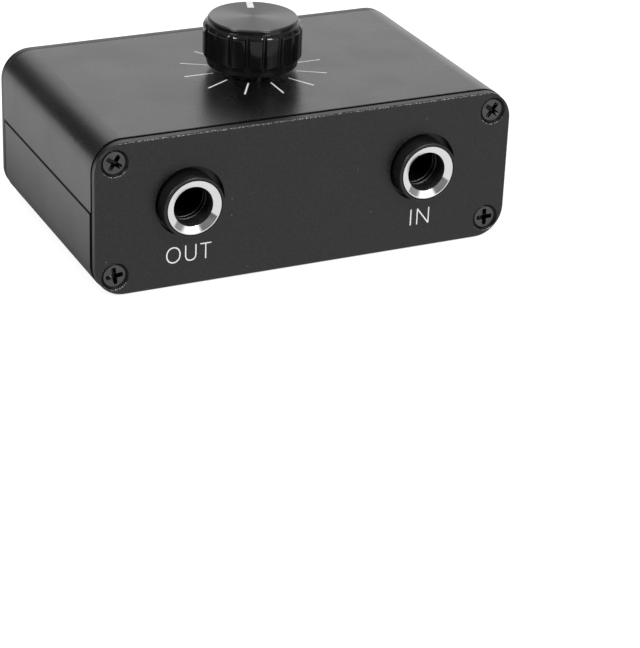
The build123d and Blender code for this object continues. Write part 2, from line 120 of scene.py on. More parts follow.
# %% Black anodised finish
def black_anodised(name, dark, pale, film_ior, gloss_low, gloss_high):
    """Satin black oxide film on blasted aluminium: grey sheen where light mirrors, black elsewhere."""
    material, tree, place = new_material(name)
    dimple_mm, dimple_depth_mm, lint_gap_mm, patch_mm = 0.3, 0.022, 3.0, 9.0
    dimples = add_node(
        tree,
        "ShaderNodeTexNoise",
        {"Vector": place, "Scale": 1 / (dimple_mm * MM), "Detail": 2.0, "Roughness": 0.6},
    )
    relief = add_node(tree, "ShaderNodeBump", {"Height": dimples, "Distance": dimple_depth_mm * MM})
    grain = add_node(tree, "ShaderNodeMapRange", {"Value": dimples, "From Min": 0.35, "From Max": 0.65})
    dyed = add_node(tree, "ShaderNodeMix", {0: grain, 6: linear(dark), 7: linear(pale)}, data_type="RGBA")
    lint = add_node(tree, "ShaderNodeTexVoronoi", {"Vector": place, "Scale": 1 / (lint_gap_mm * MM)})
    speck = add_node(
        tree,
        "ShaderNodeMapRange",
        {"Value": lint, "From Min": 0.02, "From Max": 0.05, "To Min": 1.0, "To Max": 0.0},
    )
    colour = add_node(tree, "ShaderNodeMix", {0: speck, 6: dyed, 7: linear("#4a4a4a")}, data_type="RGBA")
    patches = add_node(
        tree, "ShaderNodeTexNoise", {"Vector": place, "Scale": 1 / (patch_mm * MM), "Detail": 5.0}
    )
    gloss = add_node(
        tree,
        "ShaderNodeMapRange",
        {"Value": patches, "From Min": 0.3, "From Max": 0.7, "To Min": gloss_low, "To Max": gloss_high},
    )
    shader = add_node(
        tree,
        "ShaderNodeBsdfPrincipled",
        {"Base Color": colour, "Roughness": gloss, "IOR": film_ior, "Normal": relief},
    )
    add_node(tree, "ShaderNodeOutputMaterial", {"Surface": shader})
    return material, tree, place, shader


case_black, case_tree, case_place, case_shader = black_anodised(
    "black_anodised_extrusion", "#020202", "#0e0e0f", 1.66, 0.24, 0.32
)
dress(case_black, "top_shell", "bottom_shell")

# %% [markdown]
# ## Shade along the joints
#
# A dark line runs along the seam between the shells, and another where the top meets each end plate. Both
# are real gaps in the CAD model, about 0.3 mm wide, but they look wider, as the edges beside them lie in
# shade. Rounding those edges would mean replacing the whole extrusion. Instead painted shade turns the
# film's reflection down for about 0.3 mm beside each gap. A map range fades it back in with the distance
# from the seam, and two comparisons pick out the strip of the top beside a plate.

# %% Painted shade at the seam and the plate gaps
seam_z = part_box("top_shell")[0].z
seam_shade_mm, shade_end_mm = 0.27, 0.36
strip_y_mm, strip_z_mm = 20.25, 24.4
full_sheen, seam_shade_sheen, strip_shade_share = 0.5, 0.04, 0.08
# Painted shade: the film's reflection is turned down beside the seam and on the top's strip next to each
# plate
on_case = add_node(case_tree, "ShaderNodeSeparateXYZ", {"Vector": case_place})
over_seam = add_node(case_tree, "ShaderNodeMath", {0: on_case.outputs["Z"], 1: seam_z}, operation="SUBTRACT")
from_seam = add_node(case_tree, "ShaderNodeMath", {0: over_seam}, operation="ABSOLUTE")
seam_painted_shade = add_node(
    case_tree,
    "ShaderNodeMapRange",
    {
        "Value": from_seam,
        "From Min": seam_shade_mm * MM,
        "From Max": shade_end_mm * MM,
        "To Min": seam_shade_sheen,
        "To Max": full_sheen,
    },
)
case_depth = add_node(case_tree, "ShaderNodeMath", {0: on_case.outputs["Y"]}, operation="ABSOLUTE")
near_plate = add_node(
    case_tree, "ShaderNodeMath", {0: case_depth, 1: strip_y_mm * MM}, operation="GREATER_THAN"
)
on_top = add_node(
    case_tree, "ShaderNodeMath", {0: on_case.outputs["Z"], 1: strip_z_mm * MM}, operation="GREATER_THAN"
)
on_strip = add_node(case_tree, "ShaderNodeMath", {0: near_plate, 1: on_top}, operation="MULTIPLY")
strip_painted_shade = add_node(
    case_tree, "ShaderNodeMapRange", {"Value": on_strip, "To Min": 1.0, "To Max": strip_shade_share}
)
case_shaded_sheen = add_node(case_tree, "ShaderNodeMath", {0: seam_painted_shade, 1: strip_painted_shade}, operation="MULTIPLY")
case_tree.links.new(case_shaded_sheen.outputs["Value"], case_shader.inputs["Specular IOR Level"])
print("seam at", round(seam_z / MM, 2), "mm, strips from", strip_y_mm, "mm")

# %% [markdown]
# ## Worn edges on the plates
#
# The plates were stamped, and the stamp left a sharp burr round the outer face. Handling has rubbed the
# black off that arris along the top, in short dashes where bare metal shows. A strip of new faces could
# carry that, but it would have to follow the plate exactly. The same finish is used again instead, and a
# mask will mix bare aluminium in: only near the top edge, only at the outer face, and only where a fine
# noise says so.

# %% Plates with a rubbed arris
plate_black, plate_tree, plate_place, plate_shader = black_anodised(
    "black_anodised_plate", "#060606", "#121213", 1.46, 0.30, 0.38
)
plate_low, plate_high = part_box("front_plate")
arris_depth_mm, arris_height_mm, dash_mm = 0.09, 0.24, 0.22
on_plate = add_node(plate_tree, "ShaderNodeSeparateXYZ", {"Vector": plate_place})
plate_depth = add_node(plate_tree, "ShaderNodeMath", {0: on_plate.outputs["Y"]}, operation="ABSOLUTE")
at_face = add_node(
    plate_tree,
    "ShaderNodeMath",
    {0: plate_depth, 1: -plate_low.y - arris_depth_mm * MM},
    operation="GREATER_THAN",
)
at_top = add_node(
    plate_tree,
    "ShaderNodeMath",
    {0: on_plate.outputs["Z"], 1: plate_high.z - arris_height_mm * MM},
    operation="GREATER_THAN",
)
at_arris = add_node(plate_tree, "ShaderNodeMath", {0: at_face, 1: at_top}, operation="MULTIPLY")
dashes = add_node(
    plate_tree, "ShaderNodeTexNoise", {"Vector": plate_place, "Scale": 1 / (dash_mm * MM), "Detail": 3.0}
)
rubbed = add_node(plate_tree, "ShaderNodeMapRange", {"Value": dashes, "From Min": 0.5, "From Max": 0.62})
print("arris rubbed in dashes of about", dash_mm, "mm")

# %% [markdown]
# ## Holes in the plates
#
# The countersinks and the walls round the jack noses are nearly black, as shade falls into them, and the
# material paints that shade by turning the film's reflection down there. They could be faces with a second
# material, but the CAD mesh stays as it is, so the material has to know where the holes are. It works out
# how far each point is from the axis of its nearest hole. The holes lie in mirrored pairs, so absolute
# values and a sign fold the plate onto one hole of each kind.

# %% Distance from the holes
# For each kind: its axes' distance from the middle, the height between its rows, and the rise to a row
hole_rows_mm = {"screws": (32.155, 12.653, 9.308), "jacks": (19.95, 14.065, 0.0)}
aside = add_node(plate_tree, "ShaderNodeMath", {0: on_plate.outputs["X"]}, operation="ABSOLUTE")
from_axis, over_axis = {}, {}
for holes, (x_mm, z_mm, rise_mm) in hole_rows_mm.items():
    off_axis = add_node(plate_tree, "ShaderNodeMath", {0: aside, 1: x_mm * MM}, operation="SUBTRACT")
    over_middle = add_node(
        plate_tree, "ShaderNodeMath", {0: on_plate.outputs["Z"], 1: z_mm * MM}, operation="SUBTRACT"
    )
    row_side = add_node(plate_tree, "ShaderNodeMath", {0: over_middle}, operation="SIGN")
    row_rise = add_node(plate_tree, "ShaderNodeMath", {0: row_side, 1: rise_mm * MM}, operation="MULTIPLY")
    over_axis[holes] = add_node(
        plate_tree, "ShaderNodeMath", {0: over_middle, 1: row_rise}, operation="SUBTRACT"
    )
    offset = add_node(plate_tree, "ShaderNodeCombineXYZ", {"X": off_axis, "Y": over_axis[holes]})
    from_axis[holes] = add_node(plate_tree, "ShaderNodeVectorMath", {0: offset}, operation="LENGTH")
print("plate folded onto one of its", " and one of its ".join(hole_rows_mm))

# %% Painted shade on the walls in the holes
hole_radius_mm = {"screws": 2.3, "jacks": 5.8}
wall_start_mm, hole_shade_sheen = 0.03, 0.12
in_hole = {}
for holes, radius_mm in hole_radius_mm.items():
    in_hole[holes] = add_node(
        plate_tree, "ShaderNodeMath", {0: from_axis[holes], 1: radius_mm * MM}, operation="LESS_THAN"
    )
in_either = add_node(
    plate_tree, "ShaderNodeMath", {0: in_hole["screws"], 1: in_hole["jacks"]}, operation="MAXIMUM"
)
behind_face = add_node(
    plate_tree,
    "ShaderNodeMath",
    {0: plate_depth, 1: -plate_low.y - wall_start_mm * MM},
    operation="LESS_THAN",
)
hollow = add_node(plate_tree, "ShaderNodeMath", {0: in_either, 1: behind_face}, operation="MULTIPLY")
# Painted shade: inside each hole, behind the face, the film's reflection is turned down
plate_shaded_sheen = add_node(
    plate_tree, "ShaderNodeMapRange", {"Value": hollow, "To Min": full_sheen, "To Max": hole_shade_sheen}
)
plate_tree.links.new(plate_shaded_sheen.outputs["Result"], plate_shader.inputs["Specular IOR Level"])
print("holes of radius", hole_radius_mm, "mm get dull walls")

# %% [markdown]
# ## Lips of the countersinks
#
# Under each screw head a thin bright arc shows, where the countersink's lower lip has been rubbed bare. A
# fine torus could stand there, but it would float on a worn edge. The distance from the screws' axes is at
# hand, so a ring of it, cut to its lowest part, joins the arris in one mask. Where the mask and the dashes
# agree, the film turns to bare aluminium: a pale colour, and metallic.

# %% Bare metal on the arris and the lips
lip_radius_mm, lip_half_width_mm, lip_drop_mm = 2.25, 0.08, 1.3
on_lip = add_node(
    plate_tree,
    "ShaderNodeMath",
    {0: from_axis["screws"], 1: lip_radius_mm * MM, 2: lip_half_width_mm * MM},
    operation="COMPARE",
)
below_axis = add_node(
    plate_tree, "ShaderNodeMath", {0: over_axis["screws"], 1: -lip_drop_mm * MM}, operation="LESS_THAN"
)
low_lip = add_node(plate_tree, "ShaderNodeMath", {0: on_lip, 1: below_axis}, operation="MULTIPLY")
handled = add_node(plate_tree, "ShaderNodeMath", {0: at_arris, 1: low_lip}, operation="MAXIMUM")
bare = add_node(plate_tree, "ShaderNodeMath", {0: handled, 1: rubbed}, operation="MULTIPLY")
film_colour = plate_shader.inputs["Base Color"].links[0].from_socket
worn_colour = add_node(
    plate_tree, "ShaderNodeMix", {0: bare, 6: film_colour, 7: linear("#9a9a98")}, data_type="RGBA"
)
plate_tree.links.new(worn_colour.outputs[2], plate_shader.inputs["Base Color"])
plate_tree.links.new(bare.outputs["Value"], plate_shader.inputs["Metallic"])
dress(plate_black, "front_plate", "rear_plate")

# %% [markdown]
# ## Plastics
#
# Five moulded finishes are on the object: glossy and satin ABS on the knob, satin nylon on the jacks, and
# dull phenolic and a carbon film inside the potentiometer. Each could have a tree of its own. But a mould
# gives its texture to whatever fills it, so they differ only in colour, gloss and how coarse that texture
# is, and one function makes them all. Such plastics have an IOR near 1.5. The black ones were matched to
# the picture and came out lower, because a little dust and wear takes strength from their reflections.


# %% Moulded plastics
def moulded(name, shade, tint, gloss_low, gloss_high, texture_mm, relief_mm, ior=1.52):
    """Moulded plastic: one colour that drifts slightly, with the fine relief of its mould."""
    material, tree, place = new_material(name)
    drift_mm = 4.0
    drift = add_node(
        tree, "ShaderNodeTexNoise", {"Vector": place, "Scale": 1 / (drift_mm * MM), "Detail": 4.0}
    )
    colour = add_node(tree, "ShaderNodeMix", {0: drift, 6: linear(shade), 7: linear(tint)}, data_type="RGBA")
    gloss = add_node(
        tree,
        "ShaderNodeMapRange",
        {"Value": drift, "From Min": 0.3, "From Max": 0.7, "To Min": gloss_low, "To Max": gloss_high},
    )
    mould = add_node(
        tree,
        "ShaderNodeTexNoise",
        {"Vector": place, "Scale": 1 / (texture_mm * MM), "Detail": 3.0, "Roughness": 0.6},
    )
    relief = add_node(tree, "ShaderNodeBump", {"Height": mould, "Distance": relief_mm * MM})
    shader = add_node(
        tree,
        "ShaderNodeBsdfPrincipled",
        {"Base Color": colour, "Roughness": gloss, "IOR": ior, "Normal": relief},
    )
    add_node(tree, "ShaderNodeOutputMaterial", {"Surface": shader})
    return material


# Nylon from a blasted mould: soft grey sheen on black
jack_satin = moulded("satin_black_nylon", "#0b0b0b", "#121212", 0.30, 0.42, 0.25, 0.006, ior=1.42)
# Phenolic resin, pressed hot: dull dark grey with a grain
pot_phenolic = moulded("dull_grey_phenolic", "#2e2d2b", "#3b3936", 0.45, 0.60, 0.3, 0.010)
# Carbon ink baked on phenolic: brown-black, a little smoother
pot_carbon = moulded("carbon_film_on_phenolic", "#1a1513", "#2a2019", 0.35, 0.50, 0.15, 0.006)
dress(jack_satin, "out_jack_housing", "in_jack_housing")
dress(pot_phenolic, "pot_base", "pot_rotor")
dress(pot_carbon, "pot_element")

# %% [markdown]
# ## Metals
#
# Plated, turned and rolled metals differ in colour, gloss and the direction of the fine lines that the tool
# left. Those lines could be grooves in the mesh, at thousands of faces a piece. A wave texture draws them
# for nothing, across one axis of the piece: across Y they run round a jack's bore, across Z they run round
# the potentiometer's shaft. Real turning marks are some 0.05 mm apart, so they are drawn coarser to show at
# all.

# %% Plated and turned metals
wave_pitch = math.pi / 10  # metres between the bands of a wave texture whose scale is 1


def toolmarked(name, shade, tint, gloss_low, gloss_high, across, line_mm, relief_mm):
    """Metal with the lines of the lathe or the rolling mill: bright, with thin streaks along them."""
    material, tree, place = new_material(name)
    stain_mm = 1.5
    lines = add_node(
        tree,
        "ShaderNodeTexWave",
        {"Vector": place, "Scale": wave_pitch / (line_mm * MM), "Distortion": 2.0, "Detail": 2.0},
        bands_direction=across,
    )
    stain = add_node(
        tree, "ShaderNodeTexNoise", {"Vector": place, "Scale": 1 / (stain_mm * MM), "Detail": 4.0}
    )
    colour = add_node(tree, "ShaderNodeMix", {0: stain, 6: linear(shade), 7: linear(tint)}, data_type="RGBA")
    gloss = add_node(
        tree,
        "ShaderNodeMapRange",
        {"Value": stain, "From Min": 0.3, "From Max": 0.7, "To Min": gloss_low, "To Max": gloss_high},
    )
    relief = add_node(tree, "ShaderNodeBump", {"Height": lines.outputs["Fac"], "Distance": relief_mm * MM})
    shader = add_node(
        tree,
        "ShaderNodeBsdfPrincipled",
        {"Base Color": colour, "Metallic": 1.0, "Roughness": gloss, "Normal": relief},
    )
    add_node(tree, "ShaderNodeOutputMaterial", {"Surface": shader})
    return material


# Tin on brass strip: pale and soft, with lines along the roll
tinned_brass = toolmarked("tinned_brass_strip", "#b7b0a0", "#cfcabc", 0.22, 0.35, "Y", 0.25, 0.001)
# Zinc on steel sheet: cool grey, a little cloudy
zinc_steel = toolmarked("zinc_plated_steel", "#9a9b9b", "#b4b5b4", 0.25, 0.40, "X", 0.3, 0.001)
# Brass and aluminium from the lathe: rings that break up their glints
turned_brass = toolmarked("turned_brass", "#b08d4e", "#c7a564", 0.20, 0.30, "Z", 0.2, 0.002)
turned_aluminium = toolmarked("turned_aluminium", "#b9babb", "#cbccca", 0.22, 0.32, "Z", 0.2, 0.002)
dress(tinned_brass, "pot_terminals", "pot_wiper")
for jack in ("out", "in"):
    contacts = [f"{jack}_jack_{contact}" for contact in ("tip_spring", "switch_contact", "sleeve_terminal")]
    dress(tinned_brass, *contacts)
dress(zinc_steel, "pot_frame")
dress(turned_brass, "pot_bush")
dress(turned_aluminium, "pot_shaft")

# %% [markdown]
# ## The circuit board
#
# The board inside is glass cloth in epoxy under green solder mask. The cloth's weave, about 0.5 mm, shows
# through as a faint grid. A checker texture would give hard squares, so two wave textures at right angles
# are multiplied, which makes soft ones.

# %% Solder-masked board
board_green, board_tree, board_place = new_material("solder_masked_laminate")
weave_mm, weave_depth_mm = 0.5, 0.004
weave_scale = wave_pitch / (weave_mm * MM)
weft = add_node(board_tree, "ShaderNodeTexWave", {"Vector": board_place, "Scale": weave_scale})
warp = add_node(
    board_tree, "ShaderNodeTexWave", {"Vector": board_place, "Scale": weave_scale}, bands_direction="Y"
)
weave = add_node(
    board_tree, "ShaderNodeMath", {0: weft.outputs["Fac"], 1: warp.outputs["Fac"]}, operation="MULTIPLY"
)
mask_colour = add_node(
    board_tree, "ShaderNodeMix", {0: weave, 6: linear("#0c3f22"), 7: linear("#14562f")}, data_type="RGBA"
)
board_relief = add_node(board_tree, "ShaderNodeBump", {"Height": weave, "Distance": weave_depth_mm * MM})
board_shader = add_node(
    board_tree,
    "ShaderNodeBsdfPrincipled",
    {"Base Color": mask_colour, "Roughness": 0.28, "IOR": 1.5, "Normal": board_relief},
)
add_node(board_tree, "ShaderNodeOutputMaterial", {"Surface": board_shader})
dress(board_green, "circuit_board")

# %% [markdown]
# ## The knob's cap
#
# The cap is a disc of aluminium that was spun under a fine tool and then anodised black. The tool leaves
# thousands of concentric grooves, far too fine to model, and they stretch every reflection across them.
# That gives the two pale wedges which stay still while the knob turns. Blender has a socket for it,
# Anisotropic, and a Tangent node that runs round the Z axis tells it which way the grooves go. The shader
# stretches light along its tangent, but grooves stretch it across them, so the rotation is a quarter turn.
# A faint set of rings, drawn at 0.25 mm, stands for the deeper grooves. The film's IOR was matched to the
# picture.

# %% Spun cap
cap_low, cap_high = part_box("knob_cap")
cap_centre = (cap_low + cap_high) / 2
spun_black, spun_tree, spun_place = new_material("spun_black_anodised_aluminium")
groove_mm, groove_relief_mm, quarter_turn = 0.25, 0.0006, 0.25
centred = add_node(
    spun_tree, "ShaderNodeMapping", {"Vector": spun_place, "Location": (-cap_centre.x, -cap_centre.y, 0)}
)
rings = add_node(
    spun_tree,
    "ShaderNodeTexWave",
    {
        "Vector": centred,
        "Scale": wave_pitch / (groove_mm * MM),
        "Distortion": 1.5,
        "Detail": 3.0,
        "Detail Scale": 2.0,
    },
    wave_type="RINGS",
    rings_direction="Z",
)
spun_gloss = add_node(
    spun_tree, "ShaderNodeMapRange", {"Value": rings.outputs["Fac"], "To Min": 0.30, "To Max": 0.36}
)
spun_relief = add_node(
    spun_tree, "ShaderNodeBump", {"Height": rings.outputs["Fac"], "Distance": groove_relief_mm * MM}
)
grooves = add_node(spun_tree, "ShaderNodeTangent", direction_type="RADIAL", axis="Z")
spun_shader = add_node(
    spun_tree,
    "ShaderNodeBsdfPrincipled",
    {
        "Base Color": linear("#0c0c0d"),
        "Roughness": spun_gloss,
        "IOR": 1.86,
        "Anisotropic": 0.8,
        "Anisotropic Rotation": quarter_turn,
        "Normal": spun_relief,
        "Tangent": grooves,
    },
)
add_node(spun_tree, "ShaderNodeOutputMaterial", {"Surface": spun_shader})
dress(spun_black, "knob_cap")

# %% [markdown]
# ## Tools for the new pieces
#
# Three things come back for every piece that is modelled here. A lathe turns an outline about Z: the
# outline is a few vertices, some of its corners are rounded with a vertex bevel, and spin sweeps it round.
# A modifier could do the same, but then the mesh could not be shaped further. A mover puts the finished
# form in its place, inside the mesh, so that the object itself stays at the origin. The last step welds the
# mesh, turns its faces outwards, shades it smooth except at real edges, and hangs it on its body.

# %% Lathe
corner_segments = 4


def lathe(outline, rounded, steps):
    """Turns an outline of (radius, height) corners in mm about Z; rounded gives a radius to some of them."""
    bm = bmesh.new()
    corners = [bm.verts.new((radius * MM, 0, height * MM)) for radius, height in outline]
    for start, end in zip(corners, corners[1:]):
        bm.edges.new((start, end))
    if outline[0][0] > 0:
        bm.edges.new((corners[-1], corners[0]))
    for index, radius in rounded.items():
        bmesh.ops.bevel(
            bm,
            geom=[corners[index]],
            offset=radius * MM,
            segments=corner_segments,
            profile=0.5,
            affect="VERTICES",
            material=-1,
        )
    outline_parts = bm.verts[:] + bm.edges[:]
    bmesh.ops.spin(
        bm, geom=outline_parts, axis=(0, 0, 1), angle=2 * math.pi, steps=steps, use_merge=True
    )
    return bm


print("the lathe rounds a corner in", corner_segments, "segments")

# %% Mover and finish
weld_mm = 0.0005
sharp_degrees = 38


def move(bm, *steps):
    """Puts a form in place, one matrix after the other."""
    for step in steps:
        bmesh.ops.transform(bm, matrix=step, verts=bm.verts)


def finish_piece(bm, name, body, materials, replaced=()):
    """Welds and shades a form, makes it an object at the origin and hangs it on a body of the frame."""
    bmesh.ops.remove_doubles(bm, verts=bm.verts, dist=weld_mm * MM)
    bmesh.ops.recalc_face_normals(bm, faces=bm.faces)
    for face in bm.faces:
        face.smooth = True
    for edge in bm.edges:
        edge.smooth = edge.calc_face_angle(0) < math.radians(sharp_degrees)
    mesh = bpy.data.meshes.new(name)
    bm.to_mesh(mesh)
    bm.free()
    for material in materials:
        mesh.materials.append(material)
    piece = bpy.data.objects.new(name, mesh)
    bpy.context.scene.collection.objects.link(piece)
    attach(piece, body)
    if replaced:
        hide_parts(*replaced)
    print(name, len(mesh.polygons), "faces")


print("edges of", sharp_degrees, "degrees and more stay sharp")

# %% [markdown]
# ## The fluted knob
#
# The grip has eighteen pads parted by narrow grooves, a smooth tapered skirt under them, and a shoulder
# that rolls in to the rim round the cap. Cutting eighteen grooves with a boolean would leave hard lips.
# Instead the outside is turned with many steps, and then every vertex that lies in a groove is drawn in
# towards the axis, on a soft curve. The lips come out rounded, and they are what catches the light.

# %% Knob, turned
knob_low, knob_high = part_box("knob_body")
knob_axis = (knob_low + knob_high) / 2
knob_radius = (knob_high.x - knob_low.x) / 2 / MM
pad_count, steps_per_pad = 18, 28
skirt_mm = 0.88
knob_outline = [
    (0, 6.10),  # end of the shaft's bore
    (3.03, 6.10),
    (3.03, 0.40),  # foot of the hub
    (4.28, 0.40),
    (4.28, 5.67),  # hollow round the hub
    (6.30, 5.67),
    (6.30, 0),  # foot of the skirt
    (7.30, 0),
    (7.42, skirt_mm),  # cone up to the pads
    (8.00, 1.75),
    (8.00, 6.42),  # shoulder
    (7.54, 6.98),
    (7.38, 7.02),  # rim round the cap
    (7.25, 7.57),
    (7.16, 7.57),
    (7.16, 7.00),  # seat of the cap
    (0, 7.00),
]
knob_rounding = {7: 0.12, 8: 0.12, 9: 0.16, 10: 0.28, 11: 0.1, 12: 0.08, 13: 0.08}
knob_bm = lathe(knob_outline, knob_rounding, pad_count * steps_per_pad)
print("knob turned with", len(knob_bm.faces), "faces")

# %% Knob, grooved
first_pad_degrees = 70
pad_pitch = 360 / pad_count
groove_depth, groove_floor, groove_lip = 0.42, 0.12, 0.44
outer_wall = 1
for vert in knob_bm.verts:
    radius = math.hypot(vert.co.x, vert.co.y) / MM
    if radius < knob_radius - outer_wall or vert.co.z < skirt_mm * MM:
        continue
    past_pad = math.degrees(math.atan2(vert.co.y, vert.co.x)) - first_pad_degrees
    from_groove = math.radians(abs(past_pad % pad_pitch - pad_pitch / 2)) * knob_radius
    up_lip = min(max((from_groove - groove_floor) / (groove_lip - groove_floor), 0), 1)
    depth_here = groove_depth * (1 - up_lip * up_lip * (3 - 2 * up_lip))
    share = min(1, (knob_radius - depth_here) / radius)
    vert.co.x *= share
    vert.co.y *= share
print(pad_count, "grooves,", groove_depth, "mm deep")

# %% Knob, finished
# ABS from a polished mould: deep black with small sharp glints
knob_gloss = moulded("glossy_black_abs", "#060606", "#0b0b0b", 0.07, 0.14, 0.5, 0.003, ior=1.38)
# The same from a blasted mould: the skirt and the cone hardly mirror
knob_satin = moulded("satin_black_abs", "#080808", "#0d0d0d", 0.38, 0.48, 0.3, 0.004, ior=1.30)
satin_top_mm = 1.7
for face in knob_bm.faces:
    face.material_index = int(face.calc_center_median().z < satin_top_mm * MM)
move(knob_bm, Matrix.Translation((knob_axis.x, knob_axis.y, knob_low.z)))
finish_piece(knob_bm, "knob_grip", "knob", [knob_gloss, knob_satin], ["knob_body"])

# %% [markdown]
# ## Jack rings
#
# The bright ring in each jack is a plated bush: a flat rim, a mouth that funnels the plug in, and a long
# bore. The plating is bright to the end of the mouth, dull in the bore where plugs rub, and tarnished
# further down, from the first of two grooves that catch a thin line of light. The CAD ring has a plain
# bore. This one is turned on the lathe, like the real one, with the grooves in its outline, then tipped
# over from Z to Y.

# %% Ring outline and plating
# Nickel as it was plated, then worn, then tarnished: mirror, soft grey, dark grey
bright_nickel = toolmarked("bright_nickel_plate", "#dcdcdc", "#eaeaea", 0.06, 0.12, "Y", 0.15, 0.0006)
dull_nickel = toolmarked("dull_nickel", "#4c4c4c", "#5a5a5a", 0.50, 0.65, "Y", 0.2, 0.001)
tarnished = toolmarked("tarnished_nickel", "#3c3c3c", "#4a4a4a", 0.40, 0.52, "Y", 0.2, 0.001)
ring_outline = [
    (3.25, 0.58),  # end of the mouth
    (4.26, 0.02),  # flat rim
    (4.40, 0.02),
    (4.52, 0.24),  # collar
    (4.52, 0.90),
    (3.90, 0.90),  # outside of the bush
    (3.90, 12.0),
    (3.25, 12.0),
    (3.25, 4.72),  # second groove, from its far side
    (3.36, 4.62),
    (3.36, 4.48),
    (3.25, 4.38),
    (3.25, 3.80),  # first groove, from its far side
    (3.40, 3.66),
    (3.40, 3.40),
    (3.25, 3.26),
]
rim_rounding = {1: 0.05}
print("ring outline of", len(ring_outline), "corners")

# %% Rings
ring_steps = 96
bore_wall_mm, mouth_end_mm, tarnish_start_mm = 3.5, 0.7, 3.2
for jack in ("out", "in"):
    low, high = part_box(f"{jack}_jack_ferrule")
    ring_bm = lathe(ring_outline, rim_rounding, ring_steps)
    for face in ring_bm.faces:
        middle = face.calc_center_median()
        if math.hypot(middle.x, middle.y) < bore_wall_mm * MM:
            face.material_index = int(middle.z > mouth_end_mm * MM) + int(middle.z > tarnish_start_mm * MM)
    tip_over = Matrix.Rotation(math.radians(-90), 4, "X")
    to_jack = Matrix.Translation(((low.x + high.x) / 2, low.y, (low.z + high.z) / 2))
    move(ring_bm, tip_over, to_jack)
    plating = [bright_nickel, dull_nickel, tarnished]
    finish_piece(ring_bm, f"{jack}_jack_ring", "case", plating, [f"{jack}_jack_ferrule"])

# %% [markdown]
# ## Cross-head screws
#
# Four countersunk screws hold each plate. What shows is the head: a disc with a softened edge in a dark
# ring, and a cross recess whose walls lean in, as the driver does. A boolean would cut the cross too, but
# leave long thin faces. Here the cross starts as a small square, each of its sides is extruded to an arm,
# and the five faces are pushed down and drawn together. The recess is coloured nearly black, as painted
# shade, apart from the upward walls on one side, which get a bright steel as a painted glint.


# %% The side of a screw
def extend_loop(bm, edges, scale, drop_mm):
    """Carries a loop of edges on to another radius and depth, and returns the new loop."""
    grown = bmesh.ops.extrude_edge_only(bm, edges=edges)["geom"]
    verts = [g for g in grown if isinstance(g, bmesh.types.BMVert)]
    bmesh.ops.scale(bm, verts=verts, vec=(scale, scale, 1))
    bmesh.ops.translate(bm, verts=verts, vec=(0, 0, -drop_mm * MM))
    return [g for g in grown if isinstance(g, bmesh.types.BMEdge) and all(v in verts for v in g.verts)]


face_radius = 1.66
side_steps = [(1.77, 0.03), (1.82, 0.07), (1.0, 0.80), (1.0, 4.70)]  # next radius and the drop to it
screw_length = sum(drop for _, drop in side_steps)
print("screw", round(screw_length, 2), "mm long, in", len(side_steps), "steps")


# %% One screw
def cross_head_screw():
    """One screw that points down, with the face of its head at z = 0."""
    bm = bmesh.new()
    arm_width, arm_span, arm_rounding = 0.74, 2.8, 0.2
    recess_depth, recess_taper, face_level = 0.95, 0.6, -0.01
    bmesh.ops.create_grid(bm, x_segments=1, y_segments=1, size=arm_width / 2 * MM)
    for edge in bm.edges[:]:
        outwards = sum((v.co for v in edge.verts), Vector()).normalized()
        arm = bmesh.ops.extrude_edge_only(bm, edges=[edge])["geom"]
        tips = [g for g in arm if isinstance(g, bmesh.types.BMVert)]
        bmesh.ops.translate(bm, verts=tips, vec=outwards * (arm_span - arm_width) / 2 * MM)
    corners = [v for v in bm.verts if v.co.length > arm_width * MM]
    rounding = arm_rounding * MM
    bmesh.ops.bevel(
        bm, geom=corners, offset=rounding, segments=3, profile=0.5, affect="VERTICES", material=-1
    )
    cross = bm.faces[:]
    lips = [e for e in bm.edges if len(e.link_faces) == 1]
    circle = bmesh.ops.create_circle(bm, segments=64, radius=face_radius * MM)["verts"]
    loop = list({e for v in circle for e in v.link_edges})
    bmesh.ops.triangle_fill(bm, edges=lips + loop, use_beauty=True)
    pushed = bmesh.ops.extrude_face_region(bm, geom=cross)["geom"]
    floor_verts = [g for g in pushed if isinstance(g, bmesh.types.BMVert)]
    bmesh.ops.scale(bm, verts=floor_verts, vec=(recess_taper, recess_taper, 1))
    bmesh.ops.translate(bm, verts=floor_verts, vec=(0, 0, -recess_depth * MM))
    bmesh.ops.delete(bm, geom=[f for f in cross if f.is_valid], context="FACES")
    # Faces below the head's face take the second material: the recess's darker steel is painted shade
    for face in bm.faces:
        face.material_index = int(min(v.co.z for v in face.verts) < face_level * MM)
    last_radius = face_radius
    for radius, drop in side_steps:
        loop = extend_loop(bm, loop, radius / last_radius, drop)
        last_radius = radius
    bmesh.ops.edgeloop_fill(bm, edges=loop)
    bmesh.ops.recalc_face_normals(bm, faces=bm.faces)
    return bm


sample = cross_head_screw()
print("one screw has", len(sample.faces), "faces")
sample.free()

# %% Screws in both plates
# Steel under black plating: dark grey; the recess nearly black, a painted shade; and bright steel, a painted
# glint
black_screw = toolmarked("black_plated_steel", "#4c4c4d", "#5c5c5d", 0.30, 0.42, "X", 0.2, 0.002)
recess_painted_shade_steel = toolmarked("painted_shade_in_recess", "#1c1c1c", "#303030", 0.18, 0.30, "Z", 0.2, 0.002)
painted_glint_steel = toolmarked("painted_glint_steel", "#d0d0d0", "#e0e0e0", 0.20, 0.30, "Z", 0.2, 0.002)


